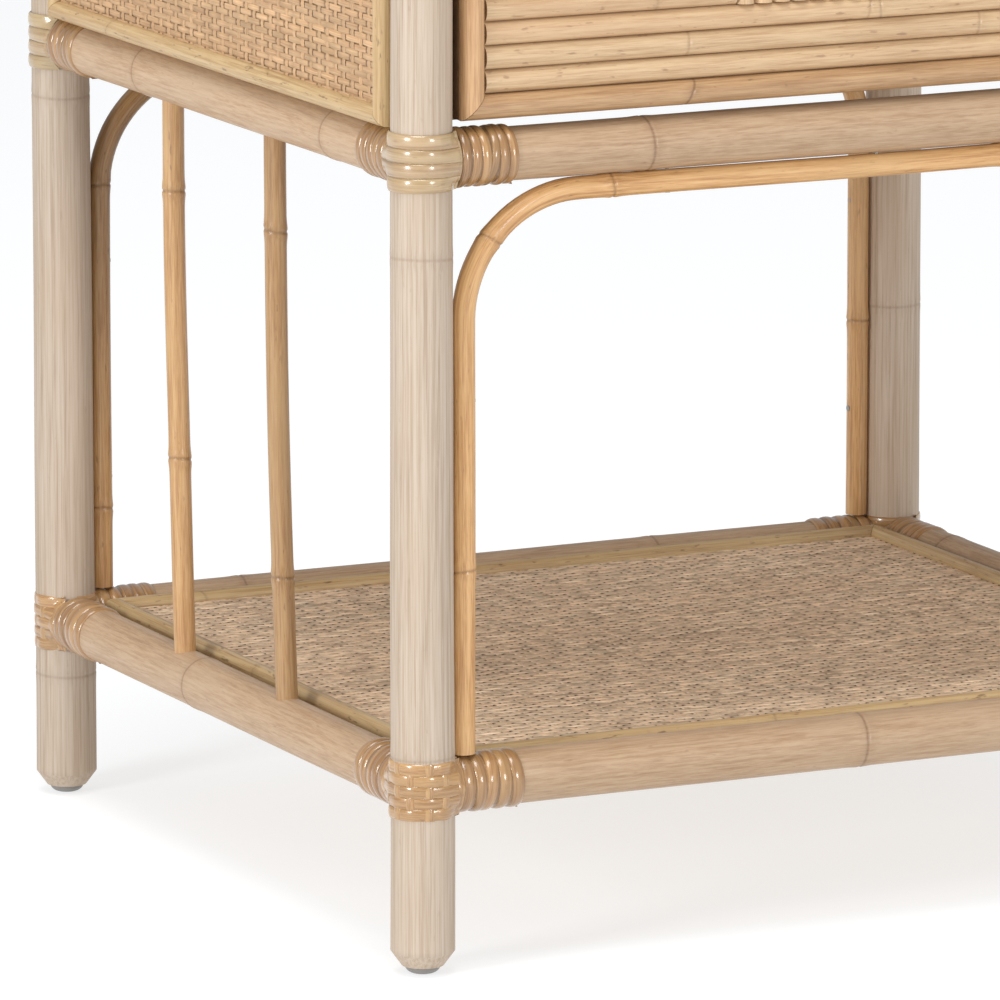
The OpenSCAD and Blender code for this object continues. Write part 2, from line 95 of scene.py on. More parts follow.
class Strands:
    """Collects swept strips, poles and turned shapes into one mesh."""

    def __init__(self):
        self.verts, self.faces = [], []
        self.grain, self.tone, self.mark, self.end = [], [], [], []
        self.count = 0

    def put(self, verts, faces, grain, tone=0.0, mark=0.0, end=0.0):
        """Adds vertices, with one value each for the shaders or one for all."""
        n = len(verts)
        self.verts.append(verts)
        self.faces.extend([[i + self.count for i in f] for f in faces])
        self.grain.append(grain)
        for store, value in ((self.tone, tone), (self.mark, mark), (self.end, end)):
            store.append(np.broadcast_to(np.asarray(value, float), (n,)))
        self.count += n

    def make(self, name, material, slot, body, *nodes, sharp=50):
        """Turns what was collected into a piece that rides a body and replaces CAD nodes."""
        mesh = bpy.data.meshes.new(name)
        mesh.from_pydata(np.concatenate(self.verts), [], self.faces)
        grain = mesh.attributes.new("grain", "FLOAT_VECTOR", "POINT")
        grain.data.foreach_set("vector", np.concatenate(self.grain).astype(np.float32).ravel())
        for label, store in (("tone", self.tone), ("mark", self.mark), ("end", self.end)):
            layer = mesh.attributes.new(label, "FLOAT", "POINT")
            layer.data.foreach_set("value", np.concatenate(store).astype(np.float32))
        mesh.materials.append(material)
        mesh.shade_smooth()
        mesh.set_sharp_from_angle(angle=math.radians(sharp))
        piece = bpy.data.objects.new(name, mesh)
        bpy.context.scene.collection.objects.link(piece)
        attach(piece, body)
        if nodes:
            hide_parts(*nodes)


def unit(v):
    return v / np.linalg.norm(v, axis=-1, keepdims=True)


def lengths(path):
    """Distance along the path of each of its points."""
    steps = np.linalg.norm(np.diff(path, axis=0), axis=1)
    return np.concatenate([[0.0], np.cumsum(steps)])


def grid_faces(n, m, loop):
    """Quads over n stations of m points, facing outwards for a counter-clockwise section."""
    i = np.arange(n if loop else n - 1)[:, None]
    j = np.arange(m)[None, :]
    k, i2 = (j + 1) % m, (i + 1) % n
    quads = np.stack([i * m + j, i * m + k, i2 * m + k, i2 * m + j], -1)
    return quads.reshape(-1, 4).tolist()


def end_faces(n, m):
    """Rings of the first and last of n stations of m points, and a face that closes each."""
    ring = list(range(m))
    return (slice(0, m), ring[::-1]), (slice(n * m - m, n * m), ring)


def sweep(out, path, side, section, tone=0.0, mark=0.0, loop=False):
    """Sweeps a section, (m, 2) or one per station (n, m, 2), along a path.

    The section's first coordinate runs along side, its second along tangent x side."""
    n = len(path)
    ahead = np.roll(path, -1, 0) - np.roll(path, 1, 0) if loop else np.gradient(path, axis=0)
    tangent = unit(ahead)
    up = unit(np.cross(tangent, np.broadcast_to(side, path.shape)))
    across = np.cross(up, tangent)
    section = np.broadcast_to(section, (n,) + np.shape(section)[-2:])
    m = section.shape[1]
    verts = path[:, None] + section[..., :1] * across[:, None] + section[..., 1:] * up[:, None]
    along = np.broadcast_to(lengths(path)[:, None, None], (n, m, 1))
    grain = np.concatenate([section, along], -1) + rng.uniform(0, GRAIN_SPREAD, 3)
    tone = np.broadcast_to(tone, (n, m)).reshape(-1)
    mark = np.broadcast_to(mark, (n, m)).reshape(-1)
    verts, grain = verts.reshape(-1, 3), grain.reshape(-1, 3)
    out.put(verts, grid_faces(n, m, loop), grain, tone, mark)
    if not loop:
        for ring, face in end_faces(n, m):
            out.put(verts[ring], [face], grain[ring], tone[ring], end=1.0)


def bell(distance, reach):
    """1 at no distance, falling smoothly to 0 past its reach."""
    return np.exp(-((distance / reach) ** 2))


def stations(length, rings, step):
    """Distances along a pole: evenly spread, and closer together round each node ring."""
    near_ring = np.linspace(-7, 7, 29) * MM
    spread = [np.linspace(0, length, max(2, int(length / step) + 1))]
    spread += [np.clip(ring + near_ring, 0, length) for ring in rings]
    return np.unique(np.round(np.concatenate(spread), 6))


def ring_shape(s, rings, rise, angle):
    """Swelling and darkness of the node rings at distance s and angle round the pole.

    A ring is a soft swelling with a fine crease in it, a dark line and a faint shadow."""
    swelling, crease, line, shadow = 4.5 * MM, 0.8 * MM, 0.9 * MM, 4 * MM
    crease_depth, shadow_depth = 0.9, 0.25
    bulge = np.zeros(np.broadcast(s, angle).shape)
    dark = np.zeros_like(bulge)
    for ring in rings:
        lean, turn = rng.uniform(0.3, 1.0) * MM, rng.uniform(0, FULL_TURN)
        d = s - ring - lean * np.cos(angle - turn)
        bulge += rise * (bell(d, swelling) - crease_depth * bell(d, crease))
        dark = np.maximum(dark, bell(d, line))
        dark = np.maximum(dark, shadow_depth * bell(d, shadow))
    return bulge, dark


def pole(out, points, side, radius, rings=(), taper=(1, 1), foot=None, sides=40, step=9 * MM,
         rise=0.35 * MM, facets=0.003, wander=0.15 * MM, tone=0.0, cut=None, shade=None):
    """A round pole or cane along a polyline, with node rings at distances along it.

    foot holds the (length, factor) of a taper at the near end; cut rounds the far end; shade
    (distance, reach, depth) darkens a stretch of it; wander bends it and facets make it uneven."""
    long_sway, short_sway, facet_turn = 0.11, 0.047, 0.06
    points = np.array(points, float)
    total = lengths(points)
    length = total[-1]
    s = stations(length, rings, step)
    if foot:
        s = np.unique(np.append(s, foot[0]))
    if cut:
        s = np.unique(np.append(s, length - cut * (1 - np.sin(np.linspace(0, math.pi / 2, 6)))))
    path = np.stack([np.interp(s, total, points[:, k]) for k in range(3)], 1)
    along = s[:, None]
    sway = np.sin(along / long_sway + rng.uniform(0, 6, 3))
    sway = sway * np.sin(along / short_sway + rng.uniform(0, 6, 3))
    path = path + wander * sway
    angle = np.linspace(0, FULL_TURN, sides, endpoint=False)[None, :]
    bulge, dark = ring_shape(along, rings, rise, angle)
    size = radius * np.interp(s, [0, length], taper)
    if foot:
        size = size * np.interp(s, [0, foot[0]], [foot[1], 1])
    if cut:
        near = np.clip(1 - (length - s) / cut, 0, 1)
        size = size - cut * (1 - np.sqrt(1 - near**2))
    lumps = 1 + facets * np.cos(7 * angle + rng.uniform(0, 6))
    lumps = lumps + facets * np.cos(3 * angle + along / facet_turn)
    r = size[:, None] * lumps + bulge
    section = np.stack([r * np.cos(angle), r * np.sin(angle)], -1)
    if shade:
        distance, reach, depth = shade
        tone = tone - depth * bell(along - distance, reach)
    sweep(out, path, side, section, tone, dark)


def dome(width, thickness, points, base=0.0):
    """Section of a strip: flat below, rounded above; base is the height of straight sides."""
    a = np.linspace(0, math.pi, points)
    top = np.stack([width / 2 * np.cos(a), base + thickness * np.sin(a)], 1)
    if base > 0:
        top = np.concatenate([[[width / 2, 0]], top, [[-width / 2, 0]]])
    return top


def half_round(out, a, b, outward, width, height, mitre=0, rings=(), tone=0.0, points=13):
    """A half-round strip from a to b, its back against the board and its round side outward.

    With mitre 1 both ends are cut at 45 degrees, longer on the strip's outer edge."""
    end_gap, step, rise, wear = 0.15 * MM, 8 * MM, 0.25 * MM, 0.06 * MM
    long_wear, short_wear = 0.023, 0.009
    a, b, outward = np.array(a, float), np.array(b, float), np.array(outward, float)
    length = np.linalg.norm(b - a)
    tangent = (b - a) / length
    side = unit(np.cross(outward, tangent))
    base = max(height - width / 2, 0.0)
    section = dome(width, height - base, points, base)
    sideways, high = section[None, :, 0], section[None, :, 1]
    s = stations(length, rings, step)[:, None]
    bulge, dark = ring_shape(s, rings, rise, np.linspace(0, math.pi, len(section))[None, :])
    start = end_gap + mitre * (width / 2 + sideways)
    at = start + (length - 2 * start) * s / length
    swell = 1 + (wear / height) * np.sin(at / long_wear + rng.uniform(0, 6)) * np.sin(at / short_wear)
    lift = high * swell + bulge * (high > 0)
    verts = a + at[..., None] * tangent + sideways[..., None] * side + lift[..., None] * outward
    n, m = at.shape
    grain = np.stack([np.broadcast_to(sideways, at.shape), lift, at], -1) + rng.uniform(0, GRAIN_SPREAD, 3)
    verts, grain = verts.reshape(-1, 3), grain.reshape(-1, 3)
    out.put(verts, grid_faces(n, m, False), grain, tone, np.broadcast_to(dark, (n, m)).reshape(-1))
    for ring, face in end_faces(n, m):
        out.put(verts[ring], [face], grain[ring], tone, end=1.0)


def lathe(out, centre, axis, profile, sides=64):
    """A turned shape: profile holds (distance along the axis, radius)."""
    profile = np.array(profile, float)
    axis = np.array(axis, float)
    side = unit(np.cross(axis, X + 0.3 * Y))
    up = np.cross(axis, side)
    angle = np.linspace(0, FULL_TURN, sides, endpoint=False)
    spoke = np.cos(angle)[:, None] * side + np.sin(angle)[:, None] * up
    verts = centre + profile[:, None, :1] * axis + profile[:, None, 1:] * spoke
    n = len(profile)
    grain = ((verts - centre) @ np.stack([side, axis, up], 1)).reshape(-1, 3)
    verts = verts.reshape(-1, 3)
    out.put(verts, grid_faces(n, sides, False), grain)
    for ring, face in end_faces(n, sides):
        out.put(verts[ring], [face], grain[ring])


# ---------------------------------------------------------------- materials
# Share of a colour's linear value that its surface gives back
ALBEDO = 0.76


def srgb(r, g, b):
    """Linear colour of a surface that reads as this sRGB value under the bright studio."""
    linear = [((c / 255 + 0.055) / 1.055) ** 2.4 if c > 10 else c / 255 / 12.92 for c in (r, g, b)]
    return (*(ALBEDO * c for c in linear), 1.0)


class Shader:
    """A material's node tree with short ways to add nodes."""

    def __init__(self, name):
        self.material = bpy.data.materials.new(name)
        self.material.use_nodes = True
        self.tree = self.material.node_tree
        self.surface = self.tree.nodes["Principled BSDF"]

    def add(self, kind, inputs=(), **settings):
        node = self.tree.nodes.new("ShaderNode" + kind)
        for key, value in settings.items():
            setattr(node, key, value)
        for key, value in dict(inputs).items():
            self.set(node.inputs[key], value)
        return node

    def set(self, socket, value):
        """Links a socket to a node's output, or gives it a fixed value."""
        if isinstance(value, bpy.types.NodeSocket):
            self.tree.links.new(value, socket)
        else:
            socket.default_value = value

    def attribute(self, name, output="Fac"):
        return self.add("Attribute", attribute_name=name).outputs[output]

    def noise(self, vector, scale, detail):
        """Noise stretched by a scale per axis, in features per metre."""
        moved = self.add("VectorMath", {0: vector, 1: scale}, operation="MULTIPLY").outputs[0]
        settings = {"Vector": moved, "Scale": 1.0, "Detail": detail, "Roughness": 0.55}
        return self.add("TexNoise", settings).outputs["Fac"]

    def span(self, value, low, high, to_low=0.0, to_high=1.0):
        """Maps low to high onto to_low to to_high, clamped."""
        ends = {"Value": value, "From Min": low, "From Max": high, "To Min": to_low, "To Max": to_high}
        return self.add("MapRange", ends).outputs["Result"]

    def maths(self, operation, a, b):
        return self.add("Math", {0: a, 1: b}, operation=operation).outputs[0]

    def mix(self, factor, a, b):
        """Mixes two colours; a colour mix has its sockets at 0, 6 and 7 and its result at 2."""
        return self.add("Mix", {0: factor, 6: a, 7: b}, data_type="RGBA").outputs[2]

    def finish(self, colour, roughness, height, depth):
        """Sets colour and gloss, with a bump of a depth in metres from a height of 0 to 1."""
        self.set(self.surface.inputs["Base Color"], colour)
        self.set(self.surface.inputs["Roughness"], roughness)
        bump = self.add("Bump", {"Height": height, "Strength": 0.6, "Distance": depth})
        self.set(self.surface.inputs["Normal"], bump.outputs["Normal"])
        return self.material


def cane_material(name, light, base, dark, stain, ring, roughness, specks, flecks=0.68, coat=0.0,
                  rings=0.5, across=1.0, tone_span=0.3, bump=0.12 * MM, streak=16, specular=0.5):
    """Rattan in any finish: fibres along the grain, soft stains, specks and node rings.

    light, base and dark are the fibres' colours; stain and ring those of the stains and of
    marks, specks and pores, the marks on woven strands being painted shade in the weave's holes.
    specks and rings are strengths, flecks the noise from which a speck starts, across and
    streak how finely the fibres split across and along the grain, and tone_span how much
    lighter or darker a strand's tone makes it."""
    sh = Shader(name)
    grain = sh.attribute("grain", "Vector")
    coarse = sh.noise(grain, (700 * across, 700 * across, streak), 4.0)
    fine = sh.noise(grain, (2600 * across, 2600 * across, 4 * streak), 3.0)
    patches = sh.noise(grain, (45, 45, 11), 2.0)
    speckle = sh.noise(grain, (420, 420, 110), 2.0)
    fibres = sh.maths("ADD", sh.maths("MULTIPLY", coarse, 0.6), sh.maths("MULTIPLY", fine, 0.4))
    shade = sh.mix(sh.span(fibres, 0.36, 0.52), dark, base)
    shade = sh.mix(sh.span(fibres, 0.5, 0.66), shade, light)
    shade = sh.mix(sh.span(patches, 0.45, 0.75, 0.0, 0.55), shade, stain)
    shade = sh.mix(sh.span(speckle, flecks, flecks + 0.08, 0.0, specks), shade, ring)
    # Marks: node rings, and on woven strands painted shade for the weave's holes
    shade = sh.mix(sh.maths("MULTIPLY", sh.attribute("mark"), rings), shade, ring)
    pores = sh.noise(grain, (1500, 1500, 1500), 2.0)
    cut = sh.mix(sh.span(pores, 0.4, 0.62), ring, base)
    shade = sh.mix(sh.maths("MULTIPLY", sh.attribute("end"), 0.75), shade, cut)
    value = sh.span(sh.attribute("tone"), -1.0, 1.0, 1 - tone_span, 1 + tone_span)
    shade = sh.add("HueSaturation", {"Color": shade, "Value": value}).outputs["Color"]
    sh.surface.inputs["Specular IOR Level"].default_value = specular
    sh.surface.inputs["Coat Weight"].default_value = coat
    sh.surface.inputs["Coat Roughness"].default_value = 0.14
    rough = sh.span(fibres, 0.3, 0.7, roughness + 0.08, roughness - 0.05)
    return sh.finish(shade, rough, fibres, bump)


def wood_material(name, light, dark, along):
    """Sawn wood or plywood in object space, its grain along X or Y."""
    sh = Shader(name)
    place = sh.add("TexCoord").outputs["Object"]
    stretch = (5.0, 90.0, 90.0) if along == "X" else (90.0, 5.0, 90.0)
    rings = sh.noise(place, stretch, 4.0)
    fine = sh.noise(place, tuple(8 * k for k in stretch), 3.0)
    figure = sh.maths("ADD", sh.maths("MULTIPLY", rings, 0.65), sh.maths("MULTIPLY", fine, 0.35))
    shade = sh.mix(sh.span(figure, 0.35, 0.65), dark, light)
    return sh.finish(shade, 0.6, figure, 0.1 * MM)


def plain_material(name, colour, roughness, metallic=0.0):
    """Plastic or metal with faint unevenness in its gloss."""
    sh = Shader(name)
    place = sh.add("TexCoord").outputs["Object"]
    cloud = sh.noise(place, (300.0, 300.0, 300.0), 3.0)
    sh.surface.inputs["Metallic"].default_value = metallic
    darker = (*(0.7 * c for c in colour[:3]), 1.0)
    shade = sh.mix(sh.span(cloud, 0.3, 0.7, 0.0, 0.25), colour, darker)
    gloss = sh.span(cloud, 0.3, 0.7, roughness - 0.06, roughness + 0.06)
    return sh.finish(shade, gloss, cloud, 0.02 * MM)


POST = cane_material(
    "post_rattan", light=srgb(217, 200, 182), base=srgb(207, 188, 168), dark=srgb(182, 160, 138),
    stain=srgb(200, 176, 150), ring=srgb(136, 108, 82), roughness=0.62,
    specks=0.15, rings=0.3, streak=10)
RAIL = cane_material(
    "rail_rattan", light=srgb(208, 178, 144), base=srgb(197, 164, 130), dark=srgb(176, 141, 107),
    stain=srgb(206, 178, 148), ring=srgb(112, 72, 44), roughness=0.5,
    specks=0.25, coat=0.1, rings=0.5, streak=40)
HONEY = cane_material(
    "honey_cane", light=srgb(242, 196, 138), base=srgb(226, 174, 114), dark=srgb(192, 138, 84),
    stain=srgb(236, 194, 138), ring=srgb(88, 52, 28), roughness=0.42,
    specks=0.4, coat=0.25, rings=0.4, tone_span=0.5, streak=24)
PEEL_PALE = cane_material(
    "binding_peel_pale", light=srgb(210, 180, 140), base=srgb(198, 166, 126), dark=srgb(172, 136, 96),
    stain=srgb(188, 170, 126), ring=srgb(108, 72, 40), roughness=0.34,
    specks=0.3, coat=1.0, bump=0.08 * MM)
PEEL_GOLD = cane_material(
    "binding_peel_gold", light=srgb(206, 165, 112), base=srgb(190, 146, 95), dark=srgb(158, 114, 68),
    stain=srgb(196, 155, 102), ring=srgb(88, 52, 24), roughness=0.32,
    specks=0.35, coat=1.0, bump=0.08 * MM)
PEEL_TAN = cane_material(
    "binding_peel_tan", light=srgb(196, 154, 104), base=srgb(180, 136, 88), dark=srgb(148, 104, 62),
    stain=srgb(186, 148, 98), ring=srgb(80, 46, 22), roughness=0.32,
    specks=0.4, coat=1.0, tone_span=0.4, bump=0.08 * MM)
BEAD = cane_material(
    "beading", light=srgb(222, 194, 146), base=srgb(208, 177, 128), dark=srgb(178, 142, 96),
    stain=srgb(199, 163, 118), ring=srgb(98, 64, 36), roughness=0.45,
    specks=0.6, flecks=0.63, coat=0.15, rings=0.3)
# Woven strands: their ring colour and rings strength paint the shade in the weave's holes
STRAND_SIDE = cane_material(
    "woven_side", light=srgb(230, 192, 148), base=srgb(214, 173, 130), dark=srgb(186, 142, 100),
    stain=srgb(202, 168, 124), ring=srgb(84, 50, 28), roughness=0.55,
    specks=0.45, rings=0.9, across=2.0)
# The same weave as the side mats, set paler: the extra lightness is painted light, making up for how dim
# the flat mats look from low down
STRAND_SHELF = cane_material(
    "woven_shelf", light=srgb(255, 240, 212), base=srgb(249, 219, 187), dark=srgb(208, 173, 140),
    stain=srgb(220, 186, 152), ring=srgb(36, 20, 8), roughness=0.7,
    specks=0.4, rings=1.0, across=2.0, specular=0.1)
REED = cane_material(
    "drawer_reed", light=srgb(240, 207, 164), base=srgb(227, 192, 149), dark=srgb(204, 164, 122),
    stain=srgb(216, 172, 130), ring=srgb(124, 80, 48), roughness=0.42,
    specks=0.45, flecks=0.65, coat=0.2, rings=0.3, streak=24)
FRAME_CANE = cane_material(
    "drawer_frame_cane", light=srgb(216, 178, 131), base=srgb(199, 157, 113), dark=srgb(170, 128, 87),
    stain=srgb(186, 141, 99), ring=srgb(96, 58, 34), roughness=0.4,
    specks=0.45, coat=0.25, rings=0.6, streak=24)
KNOB = cane_material(
    "knob_wood", light=srgb(222, 188, 146), base=srgb(206, 168, 124), dark=srgb(178, 138, 96),
    stain=srgb(200, 158, 114), ring=srgb(120, 80, 48), roughness=0.38,
    specks=0.1, coat=0.3)
PLY_X = wood_material("plywood", srgb(206, 172, 130), srgb(170, 132, 92), "X")
WOOD_Y = wood_material("batten_wood", srgb(216, 184, 140), srgb(182, 146, 104), "Y")
# Darker wood for the drawer front's board: painted shade for the dark gap between it and the posts
FRONT_BOARD_SHADE = wood_material("front_board_painted_shade", srgb(158, 120, 84), srgb(122, 88, 58), "X")
GLIDE = plain_material("glide_plastic", srgb(150, 146, 142), 0.45)
STEEL = plain_material("steel", srgb(176, 174, 170), 0.38, metallic=1.0)


# ---------------------------------------------------------------- posts and rails
# Heights of each post's node rings above the floor in mm, and its tone
POST_LOOKS = {
    ("front", "left"): ((104, 338), 0.0), ("front", "right"): ((150, 402, 560), 0.1),
    ("back", "left"): ((62, 356, 520), -0.1), ("back", "right"): ((214, 470), 0.35)}
# Distances of each rail's node rings from its first post's axis in mm, and its tone
RAIL_LOOKS = {
    "low_front": ((228, 430), -0.05), "low_back": ((96, 330), 0.1),
    "low_left": ((246,), 0.1), "low_right": ((120, 352), 0.0),
    "mid_front": ((113, 391), 0.0), "mid_back": ((204, 415), 0.1),
    "mid_left": ((303, 84), 0.45), "mid_right": ((176, 300), 0.1),
    "top_front": ((150, 372), 0.0), "top_back": ((110, 290), 0.15),
    "top_left": ((96, 318), 0.2), "top_right": ((210,), -0.05)}


def build_posts():
    for (end, side), (heights, tone) in POST_LOOKS.items():
        out = Strands()
        x, y = SIDES[side] * POST_X, POST_Y[end]
        rings = [h * MM - POST_FOOT for h in heights]
        pole(out, [(x, y, POST_FOOT), (x, y, POST_TOP)], X, POST_R, rings, taper=(1.045, 0.955),
             foot=(7 * MM, 0.66), sides=56, facets=0.004, cut=2.5 * MM, rise=0.2 * MM, tone=tone)
        out.make(f"post_{end}_{side}_pole", POST, "post_rattan", "frame", f"post_{end}_{side}")


def build_glides():
    """Domed glides that stand on a small flat."""
    radius, roundness = 8.4 * MM, 0.6
    turn = np.linspace(1.5, 0.0, 11)
    dome_up = [(POST_FOOT * (1 - math.sin(a)), radius * math.cos(a) ** roundness) for a in turn]
    out = Strands()
    for x in (-POST_X, POST_X):
        for y in POST_Y.values():
            lathe(out, np.array([x, y, 0.0]), Z, dome_up, sides=40)
    out.make("foot_glides_domed", GLIDE, "glide_plastic", "frame", "foot_glides")


def build_rails():
    inset = POST_R - 3 * MM
    for name, (rings, tone) in RAIL_LOOKS.items():
        level, place = name.split("_")
        z = LEVEL_Z[level]
        if place in ENDS:
            a, b = (inset - POST_X, POST_Y[place], z), (POST_X - inset, POST_Y[place], z)
        else:
            x = SIDES[place] * POST_X
            a, b = (x, POST_Y["front"] + inset, z), (x, POST_Y["back"] - inset, z)
        out = Strands()
        pole(out, [a, b], Z, RAIL_R, [r * MM - inset for r in rings],
             taper=rng.permutation([1.012, 0.985]), sides=52, tone=tone)
        out.make(f"rail_{name}_pole", RAIL, "rail_rattan", "frame", f"rail_{name}")


# ---------------------------------------------------------------- lashings
PEEL_T = 1.5 * MM
# How far the bands round a post reach along the rails, and their uprights' spacing
BAND_REACH = 14.5 * MM
UPRIGHT_PITCH = 8.3 * MM
# Where the wraps along a rail begin and end, from the post's surface
WRAP_START = 0.8 * MM
WRAP_END = {"low": 32.5 * MM, "mid": 29 * MM, "top": 29 * MM}
# Tone of the sleeve that shows as shadow between the strips
SLEEVE_TONE = -1.0
# Arc length of an eighth of the post's girth
POST_EIGHTH = POST_R * math.pi / 4


def corner_surface(s, z, lift):
    """Point on the lashed corner: s runs round the post's outer side and onto both rails.

    In the corner's own axes the rails leave the post along +X and +Y. s is 0 on the
    outer diagonal, positive towards the X rail. The surface eases from the post's
    radius to the rail's, and keeps clear of the post all the way."""
    ease_start, least, clearance = 2 * MM, 6.5 * MM, 0.2 * MM
    s, z, lift = np.broadcast_arrays(s, z, lift)
    bend = np.clip(s, -POST_EIGHTH, POST_EIGHTH)
    angle = 1.25 * math.pi + bend / POST_R
    out = np.maximum(np.abs(s) - POST_EIGHTH, 0)
    ease = np.clip((out - ease_start) / (BAND_REACH - ease_start), 0, 1)
    ease = ease * ease * (3 - 2 * ease)
    on_rail = np.sqrt(np.maximum((RAIL_R + 0.4 * MM) ** 2 - z**2, least**2))
    clear = np.sqrt(np.maximum(POST_R**2 - out**2, 0)) + clearance
    r = np.maximum(POST_R + (on_rail - POST_R) * ease, np.minimum(clear, POST_R)) + lift
    x = r * np.cos(angle) + np.where(s > 0, out, 0)
    y = r * np.sin(angle) + np.where(s < 0, out, 0)
    return np.stack([x, y, z], -1)


def patch(out, surface, s, z, lift, tone, flip, grain_along):
    """A closed strip between stations (rows) and a section (columns) on a surface."""
    verts = surface(s, z, lift)
    n, m = verts.shape[:2]
    section, along = (z, s) if grain_along == "s" else (s, z)
    grain = np.stack([np.broadcast_to(v, (n, m)) for v in (section, lift, along)], -1)
    grain = grain + rng.uniform(0, GRAIN_SPREAD, 3)
    faces = grid_faces(n, m, False) + [list(range(m))[::-1], list(range(n * m - m, n * m))]
    if flip:
        faces = [f[::-1] for f in faces]
    out.put(verts.reshape(-1, 3), faces, grain.reshape(-1, 3), tone)


def lash_post(out, place, mirror, z0, rows, height, woven):
    """Bands round a post over a thin sleeve, woven through upright strips where woven."""
    sx, sy = mirror
    flip = sx * sy < 0

    def outer(s, z, lift):
        p = corner_surface(s, z, lift)
        return np.stack([place[0] + sx * p[..., 0], place[1] + sy * p[..., 1], z0 + p[..., 2]], -1)

    def inner(s, z, lift):
        angle = 0.25 * math.pi + s / POST_R
        s, z, r = np.broadcast_arrays(s, z, POST_R + lift)
        return np.stack([place[0] + sx * r * np.cos(angle), place[1] + sy * r * np.sin(angle), z0 + z], -1)

    row_h = height / rows
    reach = POST_EIGHTH + BAND_REACH
    a = np.linspace(0, math.pi, 9)[None, :]
    s_out = np.linspace(-reach, reach, 90)[:, None]
    s_in = np.linspace(-POST_EIGHTH, POST_EIGHTH, 24)[:, None]
    tuck = np.clip((reach - np.abs(s_out)) / (2 * MM), 0.3, 1)
    sleeve = -(height / 2 - 0.5 * MM) * np.cos(a)
    sleeve_lift = 0.35 * MM * np.sin(a) ** 0.3
    patch(out, outer, s_out * 0.98, sleeve, sleeve_lift, SLEEVE_TONE, flip, "s")
    patch(out, inner, s_in, sleeve, sleeve_lift, SLEEVE_TONE, flip, "s")
    overlap, roundness = (1.08, 0.6) if woven else (1.0, 0.72)
    form = np.sin(a) ** roundness
    for k in range(rows):
        zc = (k + 0.5) * row_h - height / 2
        width = row_h * rng.uniform(1.0, 1.06) * overlap
        thick = PEEL_T * rng.uniform(0.8, 0.95)
        tone = rng.uniform(-0.25, 0.25) + (0.2 if k == rows - 1 else 0.0)
        flat = zc - width / 2 * np.cos(a)
        drift = 0.25 * MM * np.sin(s_out / (9 * MM) + k)
        wave = 0.2 * MM * (np.cos(math.pi * (s_out / UPRIGHT_PITCH + k)) - 1) if woven else 0.0
        lift = (0.1 * MM + thick * form + wave) * tuck
        patch(out, outer, s_out, flat + drift, lift, tone, flip, "s")
        patch(out, inner, s_in, flat, thick * form, tone, flip, "s")
    if woven:
        z = np.linspace(-height / 2, height / 2, 5 * rows + 1)[:, None]
        for m in range(-3, 4):
            width = rng.uniform(4.2, 5.0) * MM
            at = m * UPRIGHT_PITCH + rng.uniform(-0.6, 0.6) * MM
            wave = -0.36 * MM * np.cos(math.pi * (z + height / 2 - row_h / 2) / row_h + math.pi * m)
            lift = 0.15 * MM + 0.8 * MM * np.sin(a) ** 0.7 + wave
            patch(out, outer, at + width / 2 * np.cos(a), z, lift, rng.uniform(-0.1, 0.3), flip, "z")


def wrap_rail(out, start, axis, inward, count, end):
    """Turns of peel side by side round the end of a rail, over a thin sleeve.

    The seam of each turn is on the inward side. The last turn's tail hangs below."""
    pitch = (end - WRAP_START) / count
    angle = np.linspace(0, FULL_TURN, 60, endpoint=False)
    spoke = np.cos(angle)[:, None] * inward + np.sin(angle)[:, None] * Z
    r = RAIL_R + 0.05 * MM

    def turn(centre, width, thick, lean, tone):
        shift = lean * np.cos(angle - rng.uniform(0, FULL_TURN))
        path = start + axis * centre + r * spoke + shift[:, None] * axis
        outward = np.cross(path[1] - path[0], axis) @ spoke[0] > 0
        sweep(out, path, axis if outward else -axis, dome(width, thick, 8), tone, loop=True)

    turn((WRAP_START + end) / 2, end - WRAP_START - 1 * MM, 0.4 * MM, 0.0, SLEEVE_TONE)
    for k in range(count):
        lean = rng.uniform(1.3, 1.8) * MM if k == count // 2 else rng.uniform(0.1, 0.8) * MM
        width, thick = pitch * rng.uniform(0.96, 1.08), PEEL_T * rng.uniform(0.75, 0.98)
        turn(WRAP_START + (k + 0.5) * pitch, width, thick, lean, rng.uniform(-0.4, 0.4))
    tail = start + axis * (end - pitch * 0.4) - Z * (RAIL_R + 0.6 * MM)
    path = np.array([tail - axis * 3 * MM, tail, tail + axis * 3.5 * MM - Z * 0.8 * MM])
    sweep(out, path, unit(np.cross(axis, Z)), dome(4.2 * MM, 1.0 * MM, 7) * [1, -1], -0.5)


def build_lashings():
    """One piece of bands and one of wraps per joint; the first stands in for a level's node."""
    for level in LEVELS:
        z = LEVEL_Z[level]
        woven = level == "low"
        height = 27 * MM
        if level == "top":
            height = 2 * min(13 * MM, POST_TOP - 2 * MM - z)
        peel = PEEL_GOLD if woven else PEEL_PALE
        for end in ENDS:
            for side in SIDES:
                bands, wraps = Strands(), Strands()
                here = np.array([SIDES[side] * POST_X, POST_Y[end], z])
                into_x, into_y = -SIDES[side] * X, -ENDS[end] * Y
                lash_post(bands, here[:2], (into_x[0], into_y[1]), z, 5 if woven else 4, height, woven)
                turns = 5 if woven else 6
                wrap_rail(wraps, here + into_x * POST_R, into_x, into_y, turns, WRAP_END[level])
                wrap_rail(wraps, here + into_y * POST_R, into_y, into_x, 5, WRAP_END[level])
                stands_for = [f"bindings_{level}"] if (end, side) == ("front", "left") else []
                joint = f"{level}_{end}_{side}"
                bands.make(f"bands_{joint}", peel, "binding_peel", "frame", *stands_for)
                wraps.make(f"wraps_{joint}", PEEL_TAN, "binding_peel", "frame")


# ---------------------------------------------------------------- canes
ARCH_BEND = 58 * MM
# Distances of each arch's node rings along its cane in mm, from its left foot
ARCH_RINGS = {"front": (86, 244, 312, 520, 690), "back": (40, 205, 396, 640, 800)}
